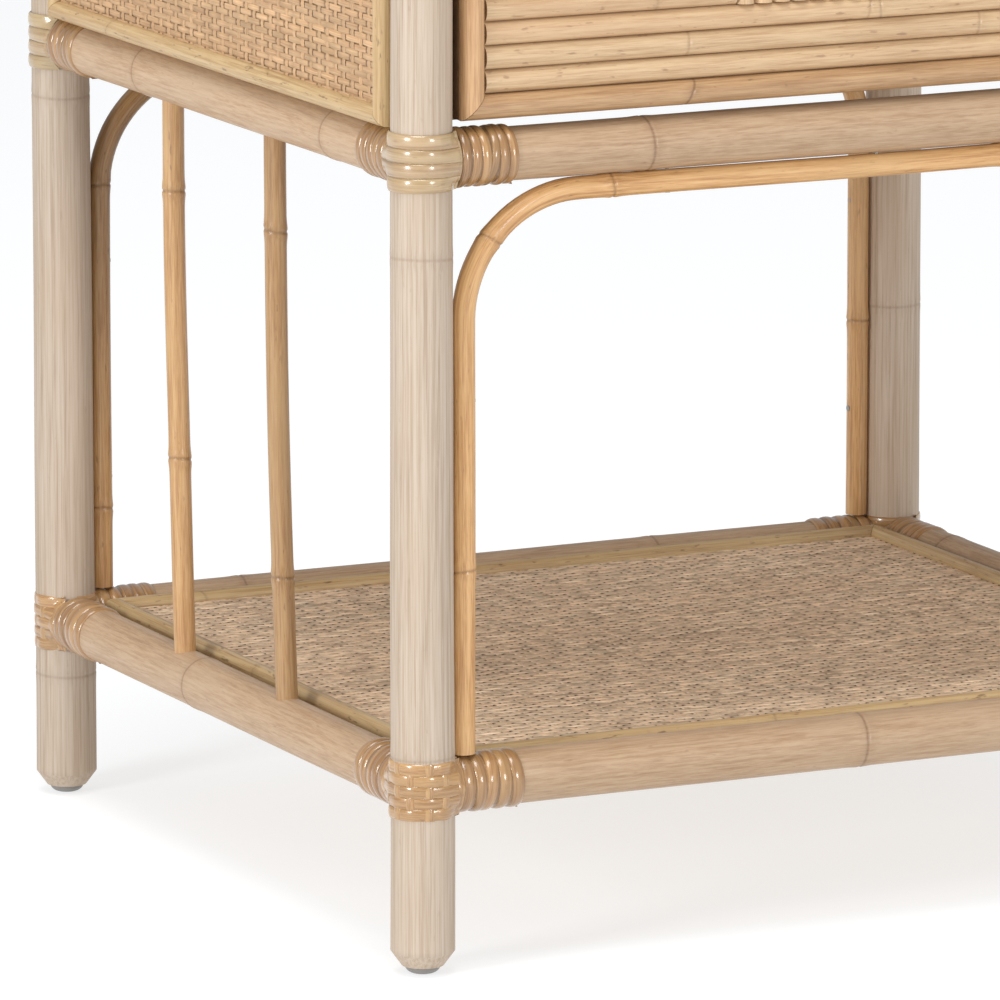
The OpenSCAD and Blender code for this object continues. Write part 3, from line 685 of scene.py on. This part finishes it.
# The back arch is dark about its left bend, partly dark cane and partly painted shade: distance, reach and
# depth
ARCH_SHADE = {"front": None, "back": (0.23, 0.19, 0.95)}
SPINDLE_TONE = {"front": -0.7, "back": -0.35}
SPINDLE_BOW = 3 * MM


def build_arches():
    for end, rings in ARCH_RINGS.items():
        lo, hi = corners(f"arch_{end}")
        leg, top, y = hi[0] - CANE_R, hi[2] - CANE_R, (lo[1] + hi[1]) / 2
        half = [(leg, lo[2])]
        for t in np.linspace(0, math.pi / 2, 20):
            half.append((leg - ARCH_BEND * (1 - math.cos(t)), top - ARCH_BEND * (1 - math.sin(t))))
        path = [(-x, y, z) for x, z in half] + [(x, y, z) for x, z in half[::-1]]
        out = Strands()
        pole(out, path, Y, CANE_R, [r * MM for r in rings], sides=28, step=4 * MM, facets=0.006,
             wander=0.3 * MM, rise=0.45 * MM, tone=rng.uniform(-0.1, 0.1), shade=ARCH_SHADE[end])
        out.make(f"arch_{end}_cane", HONEY, "honey_cane", "frame", f"arch_{end}")


def build_spindles():
    """Slightly bowed canes whose ends are hidden in the rails."""
    low, high = LEVEL_Z["low"] + 0.8 * RAIL_R, LEVEL_Z["mid"] - 0.8 * RAIL_R
    rise = high - low
    t = np.linspace(0, 1, 40)
    for side in SIDES:
        for end in ENDS:
            node = f"spindle_{side}_{end}"
            lo, hi = corners(node)
            foot, head = lo[1] + CANE_R, hi[1] - CANE_R - 0.5 * MM
            y = foot + (head - foot) * t + 4 * SPINDLE_BOW * t * (1 - t)
            path = np.stack([np.full(len(t), SIDES[side] * POST_X), y, low + rise * t], 1)
            rings = [rng.uniform(0.72, 0.9) * rise, rng.uniform(0.15, 0.4) * rise]
            out = Strands()
            pole(out, path, X, 0.97 * CANE_R, rings, sides=28, step=5 * MM, facets=0.008,
                 wander=0.5 * MM, rise=0.5 * MM, tone=SPINDLE_TONE[end])
            out.make(f"{node}_cane", HONEY, "honey_cane", "frame", node)


# ---------------------------------------------------------------- woven panels
WEFT_PITCH, WEFT_T = 3.02 * MM, 0.4 * MM
WARP_PITCH, WARP_T = 8.95 * MM, 0.36 * MM
# Height of the weave's middle plane above its board
WEAVE_LEVEL = 0.74 * MM
# How far the strands run on under the beading
UNDER_BEAD = 2 * MM
# A weft's way under a warp: distances from the warp's middle, heights, and where painted shade marks the
# hole beside the warp
DIP = np.array([-3.6, -2.1, 2.1, 3.6]) * MM
DIP_RISE = [0.5, -0.8, -0.8, 0.5]
DIP_SHADE = [0, 1, 1, 0]


def ribbon_section(width, thickness):
    """A flat strand whose upper edges are bevelled."""
    w, t = width / 2, thickness / 2
    return np.array([(w, -t), (w * 0.72, t), (-w * 0.72, t), (-w, -t)])


def weave(name, origin, u, v, normal, size, material, slot, node, swing=0.3 * MM, uneven=0.22):
    """Plain weave: thin wefts along u pass over and under wide warps along v.

    Each weft dips quickly under a warp, and beside the warp a small hole is painted on it as dark shade.
    swing is how far strands rise and fall, uneven how much their tone varies along them."""
    origin = origin - UNDER_BEAD * (u + v)
    size_u, size_v = (length + 2 * UNDER_BEAD for length in size)
    rows, columns = int(size_v / WEFT_PITCH), int(size_u / WARP_PITCH)
    weft_pitch, warp_pitch = size_v / rows, size_u / columns
    wefts, warps = Strands(), Strands()
    warp_at = (np.arange(columns) + 0.5) * warp_pitch + rng.normal(0, 0.2, columns) * MM
    weft_side = -v if np.dot(np.cross(u, -v), normal) > 0 else v
    for k in range(rows):
        over = (np.arange(columns) + k) % 2 == 0
        crossings, dips = over.sum(), warp_at[~over][:, None] + DIP
        # Painted shade: some dips get dark marks that stand for the holes beside the warps
        dip_shade = np.clip(rng.uniform(-0.4, 1.8, dips.shape), 0, 1) * DIP_SHADE
        steps = np.concatenate([warp_at[over], dips.ravel(), [0, size_u]])
        rise = np.concatenate([np.ones(crossings), np.tile(DIP_RISE, len(dips)), [0, 0]])
        mark = np.concatenate([np.zeros(crossings), dip_shade.ravel(), [0, 0]])
        order = np.argsort(steps)
        steps, lift, mark = steps[order], WEAVE_LEVEL + swing * rise[order], mark[order]
        at = (k + 0.5) * weft_pitch + rng.normal(0, 0.1) * MM
        at = at + 0.15 * MM * np.sin(steps / 0.03 + rng.uniform(0, 6))
        at = at + rng.normal(0, 0.06, len(steps)) * MM
        path = origin + steps[:, None] * u + at[:, None] * v + lift[:, None] * normal
        tone = rng.normal(0, 0.25) + rng.normal(0, uneven, len(steps))
        section = ribbon_section(rng.uniform(0.9, 1.0) * weft_pitch, WEFT_T)
        sweep(wefts, path, weft_side, section, tone[:, None], mark[:, None])
    steps = np.linspace(0, size_v, 2 * rows + 1)
    warp_side = u if np.dot(np.cross(v, u), normal) > 0 else -u
    for k, at in enumerate(warp_at):
        lift = WEAVE_LEVEL - 0.95 * swing * np.cos(math.pi * (steps / weft_pitch - 0.5 + k))
        path = origin + steps[:, None] * v + at * u + lift[:, None] * normal
        section = ribbon_section(rng.uniform(3.0, 3.6) * MM, WARP_T)
        sweep(warps, path, warp_side, section, rng.normal(0.1, 0.2))
    wefts.make(f"{name}_wefts", material, slot, "frame", node, sharp=80)
    warps.make(f"{name}_warps", material, slot, "frame", sharp=80)


def bead_rectangle(name, low, high, normal, node, tone=0.2):
    """Mitred half-round beading round a rectangle given by its corners on the board."""
    width, height = 9.0 * MM, 6.0 * MM
    low, high = np.array(low, float), np.array(high, float)
    p, q = (axis for axis in (X, Y, Z) if abs(axis @ normal) < 0.5)
    along_p, along_q = p * ((high - low) @ p), q * ((high - low) @ q)
    ring = [low, low + along_p, low + along_p + along_q, low + along_q]
    if np.dot(np.cross(p, q), normal) < 0:
        ring = ring[::-1]
    out = Strands()
    centre = (low + high) / 2
    for k in range(4):
        a, b = ring[k], ring[(k + 1) % 4]
        inward = centre - (a + b) / 2
        inward = unit(inward - normal * (inward @ normal))
        shift = inward * width / 2
        rings = rng.uniform(0.1, 0.9, 1) * np.linalg.norm(b - a)
        strip_tone = tone + rng.uniform(-0.2, 0.3)
        half_round(out, a + shift, b + shift, normal, width, height, 1, rings, strip_tone)
    out.make(f"{name}_strips", BEAD, "beading", "frame", node)


def build_panels():
    for place in ("shelf", "top"):
        lo, hi = corners(f"{place}_mat")
        weave(f"{place}_weave", lo, X, Y, Z, (hi - lo)[:2], STRAND_SHELF, "woven_shelf",
              f"{place}_mat", swing=0.2 * MM, uneven=0.6)
        node = f"{place}_beading"
        lo, hi = corners(node)
        bead_rectangle(f"{place}_bead", lo, [hi[0], hi[1], lo[2]], Z, node, tone=-0.15)
    for side, sign in SIDES.items():
        out_x = sign * X
        lo, hi = corners(f"side_{side}_mat")
        board_x = lo[0] if sign > 0 else hi[0]
        weave(f"side_{side}_weave", [board_x, lo[1], lo[2]], Y, Z, out_x, (hi - lo)[1:],
              STRAND_SIDE, "woven_side", f"side_{side}_mat")
        node = f"side_{side}_beading"
        lo, hi = corners(node)
        bead_rectangle(f"side_{side}_bead", [board_x, lo[1], lo[2]], [board_x, hi[1], hi[2]], out_x, node)
    lo, hi = corners("back_mat")
    weave("back_weave", lo, X, Z, Y, (hi - lo)[::2], STRAND_SIDE, "woven_side", "back_mat")
    lo, hi = corners("back_beading")
    bead_rectangle("back_bead", lo, [hi[0], lo[1], hi[2]], Y, "back_beading")


# ---------------------------------------------------------------- drawer front
ROWS_FULL, ROWS_BLOCK, UPRIGHTS = 3, 7, 16
FRONT_POLE_W, FRONT_POLE_H = 11.7 * MM, 7 * MM
# The frame's poles from the lower one on, anticlockwise: node rings in mm and tones
FRONT_POLES = (((114,), -0.1), ((70,), 0.4), ((120, 300), -0.1), ((96,), 0.8))


def build_drawer_frame(lo, hi):
    """Four mitred half-round poles round the drawer's front."""
    out = Strands()
    face_y = hi[1]
    centre = np.array([0, face_y, (lo[2] + hi[2]) / 2])
    corner_xz = ((lo[0], lo[2]), (hi[0], lo[2]), (hi[0], hi[2]), (lo[0], hi[2]))
    ring = [np.array([x, face_y, z]) for x, z in corner_xz]
    for k, (marks, tone) in enumerate(FRONT_POLES):
        a, b = ring[k], ring[(k + 1) % 4]
        shift = unit((centre - (a + b) / 2) * [1, 0, 1]) * FRONT_POLE_W / 2
        half_round(out, a + shift, b + shift, -Y, FRONT_POLE_W, FRONT_POLE_H, 1,
                   [r * MM for r in marks], tone, points=17)
    out.make("drawer_frame_poles", FRAME_CANE, "drawer_frame_cane", "drawer", "drawer_front_frame")


def build_reeds_across(inner_lo, inner_hi, block_lo, block_hi, face_y):
    """Rows of reed over the full width, and beside the upright block."""
    out = Strands()
    rows = 2 * ROWS_FULL + ROWS_BLOCK
    pitch = (inner_hi[2] - inner_lo[2]) / rows
    for k in range(rows):
        z = inner_lo[2] + (k + 0.5) * pitch
        full = k < ROWS_FULL or k >= ROWS_FULL + ROWS_BLOCK
        if full:
            spans = [(inner_lo[0], inner_hi[0])]
        else:
            spans = [(inner_lo[0], block_lo[0]), (block_hi[0], inner_hi[0])]
        for x0, x1 in spans:
            x0 += rng.uniform(0.2, 0.7) * MM
            x1 -= rng.uniform(0.2, 0.7) * MM
            rings = [rng.uniform(0.1, 0.9) * (x1 - x0) for _ in range(2 if full else 1)]
            width = pitch - rng.uniform(0.15, 0.4) * MM
            height = 0.34 * pitch + rng.uniform(0.0, 0.4) * MM
            half_round(out, (x0, face_y, z), (x1, face_y, z), -Y, width, height,
                       rings=rings, tone=rng.uniform(-0.25, 0.25))
    out.make("drawer_reeds_rows", REED, "drawer_reed", "drawer", "drawer_reeds_across")


def build_reeds_upright(block_lo, block_hi, face_y):
    """The block of upright reeds in the middle, every third with a node ring."""
    out = Strands()
    pitch = (block_hi[0] - block_lo[0]) / UPRIGHTS
    tall = block_hi[2] - block_lo[2]
    for k in range(UPRIGHTS):
        x = block_lo[0] + (k + 0.5) * pitch
        rings = [rng.uniform(0.15, 0.85) * tall] if k % 3 == 0 else []
        half_round(out, (x, face_y, block_lo[2]), (x, face_y, block_hi[2]), -Y, pitch - 0.25 * MM,
                   pitch / 2 - 0.1 * MM, rings=rings, tone=rng.uniform(-0.3, 0.35))
    out.make("drawer_reeds_block", REED, "drawer_reed", "drawer", "drawer_reeds_upright")


def build_drawer_front():
    lo, hi = corners("drawer_front_frame")
    block = corners("drawer_reeds_upright")
    build_drawer_frame(lo, hi)
    build_reeds_across(lo + FRONT_POLE_W, hi - FRONT_POLE_W, *block, hi[1])
    build_reeds_upright(*block, hi[1])


# The knob's outline in mm, from the reeds outwards: distance and radius
KNOB_OUTLINE = [
    (0, 9), (1.6, 9), (2.4, 8.4), (3.4, 7.2), (5, 6.5), (8, 6.5), (9.4, 7.4), (10.5, 9), (11.6, 11.2),
    (12.6, 13), (14.5, 14.6), (16.5, 15), (18.6, 14.4), (20.2, 12.6), (21.3, 9.5), (21.9, 5), (22, 0.4)]
# Where the outline turns to the knob's end and is no longer smoothed
KNOB_END = 20.2


def build_knob():
    lo, hi = corners("drawer_knob")
    long = KNOB_OUTLINE[-1][0]
    reach = np.linspace(0, long, 70)
    outline = np.interp(reach, *zip(*KNOB_OUTLINE))
    radii = outline.copy()
    radii[1:-1] = (outline[:-2] + 2 * outline[1:-1] + outline[2:]) / 4
    radii = np.where(reach > KNOB_END, outline, radii)
    out = Strands()
    centre = np.array([0, hi[1], (lo[2] + hi[2]) / 2])
    scale = (hi[1] - lo[1]) / long
    lathe(out, centre, -Y, np.stack([reach * scale, radii * MM], 1))
    out.make("drawer_knob_turned", KNOB, "knob_wood", "drawer", "drawer_knob")


# ---------------------------------------------------------------- boards and hardware
# Boards with eased edges: body, material and slot
EASED = {
    "shelf_board": ("frame", PLY_X, "plywood"), "top_board": ("frame", PLY_X, "plywood"),
    # The drawer front board's darker wood is painted shade for the gap beside the posts
    "drawer_bottom": ("drawer", PLY_X, "plywood"), "drawer_front_board": ("drawer", FRONT_BOARD_SHADE, "plywood"),
    "drawer_back": ("drawer", PLY_X, "batten_wood"), "drawer_side_left": ("drawer", WOOD_Y, "batten_wood"),
    "drawer_side_right": ("drawer", WOOD_Y, "batten_wood")}
# CAD nodes that are shown as they are: material and slot
PAINTED = {
    "side_left_board": (WOOD_Y, "plywood"), "side_right_board": (WOOD_Y, "plywood"),
    "back_board": (PLY_X, "plywood"), "runner_left": (WOOD_Y, "batten_wood"),
    "runner_right": (WOOD_Y, "batten_wood"), "drawer_kickers": (WOOD_Y, "batten_wood"),
    "drawer_stops": (WOOD_Y, "batten_wood"), "shelf_battens": (WOOD_Y, "batten_wood"),
    "top_battens": (WOOD_Y, "batten_wood"), "frame_screws": (STEEL, "steel"),
    "frame_nails": (STEEL, "steel"), "runner_screws": (STEEL, "steel"),
    "drawer_screws": (STEEL, "steel")}


def ease_edges(node, body, material, slot):
    """A board with eased edges in place of a plain CAD box."""
    lo, hi = corners(node)
    box = bmesh.new()
    bmesh.ops.create_cube(box, size=1.0)
    bmesh.ops.scale(box, vec=Vector(hi - lo), verts=box.verts)
    bmesh.ops.translate(box, vec=Vector((lo + hi) / 2), verts=box.verts)
    bmesh.ops.bevel(box, geom=box.edges[:], offset=0.8 * MM, segments=2, affect="EDGES")
    mesh = bpy.data.meshes.new(f"{node}_eased")
    box.to_mesh(mesh)
    box.free()
    mesh.materials.append(material)
    piece = bpy.data.objects.new(f"{node}_eased", mesh)
    bpy.context.scene.collection.objects.link(piece)
    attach(piece, body)
    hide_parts(node)


def build_boards():
    for node, look in EASED.items():
        ease_edges(node, *look)
    for node, (material, slot) in PAINTED.items():
        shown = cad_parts[node]
        shown.data.materials.clear()
        shown.data.materials.append(material)


# ---------------------------------------------------------------- stage, light and camera
WHITE = (1, 1, 1, 1)
SKY_STRENGTH = 0.52
# Half the floor's width, its colour and how much light it gives of its own
FLOOR_HALF, FLOOR_COLOUR, FLOOR_GLOW = 30.0, (0.35, 0.365, 0.38, 1), 0.68
# Softboxes: place, width and height, power in watts
LAMPS = {"key": ((-2.8, -0.95, 0.95), (0.7, 0.9), 42), "front": ((0.35, -3.2, 0.95), (0.6, 0.9), 32),
         "top": ((-0.8, -0.8, 3.4), (1.6, 1.6), 60)}
LAMPS_AIM = (0, 0, 0.3)
# The photo's angle: the lens in mm, place, and degrees to the right and down
CAMERA_LENS, CAMERA_PLACE = 343.45, (-2.0818, MID_Y - 4.1155, 1.0819)
CAMERA_YAW, CAMERA_PITCH = 25.786, 11.225


def build_stage():
    mesh = bpy.data.meshes.new("floor")
    r = FLOOR_HALF
    mesh.from_pydata([(-r, -r, 0), (r, -r, 0), (r, r, 0), (-r, r, 0)], [], [(0, 1, 2, 3)])
    sh = Shader("floor")
    sh.surface.inputs["Base Color"].default_value = FLOOR_COLOUR
    sh.surface.inputs["Emission Color"].default_value = WHITE
    sh.surface.inputs["Emission Strength"].default_value = FLOOR_GLOW
    sh.surface.inputs["Roughness"].default_value = 0.9
    mesh.materials.append(sh.material)
    floor = bpy.data.objects.new("floor", mesh)
    bpy.context.scene.collection.objects.link(floor)


def build_lights():
    world = bpy.data.worlds.new("studio")
    bpy.context.scene.world = world
    world.use_nodes = True
    sky = world.node_tree.nodes["Background"]
    sky.inputs["Color"].default_value = WHITE
    sky.inputs["Strength"].default_value = SKY_STRENGTH
    for name, (place, size, power) in LAMPS.items():
        lamp = bpy.data.lights.new(name, "AREA")
        lamp.shape = "RECTANGLE"
        lamp.size, lamp.size_y = size
        lamp.energy = power
        thing = bpy.data.objects.new(name, lamp)
        bpy.context.scene.collection.objects.link(thing)
        thing.location = place
        aim = Vector(LAMPS_AIM) - Vector(place)
        thing.rotation_euler = aim.to_track_quat("-Z", "Y").to_euler()


def build_camera():
    lens = bpy.data.cameras.new("camera")
    lens.lens, lens.sensor_width = CAMERA_LENS, 36
    lens.clip_start, lens.clip_end = 0.1, 60
    camera = bpy.data.objects.new("camera", lens)
    bpy.context.scene.collection.objects.link(camera)
    camera.location = CAMERA_PLACE
    yaw, pitch = math.radians(CAMERA_YAW), math.radians(CAMERA_PITCH)
    camera.rotation_euler = Euler((math.pi / 2 - pitch, 0, -yaw))
    bpy.context.scene.camera = camera


build_posts()
build_glides()
build_rails()
build_lashings()
build_arches()
build_spindles()
build_panels()
build_drawer_front()
build_knob()
build_boards()
build_stage()
build_lights()
build_camera()
bpy.context.scene.view_settings.view_transform = "Standard"
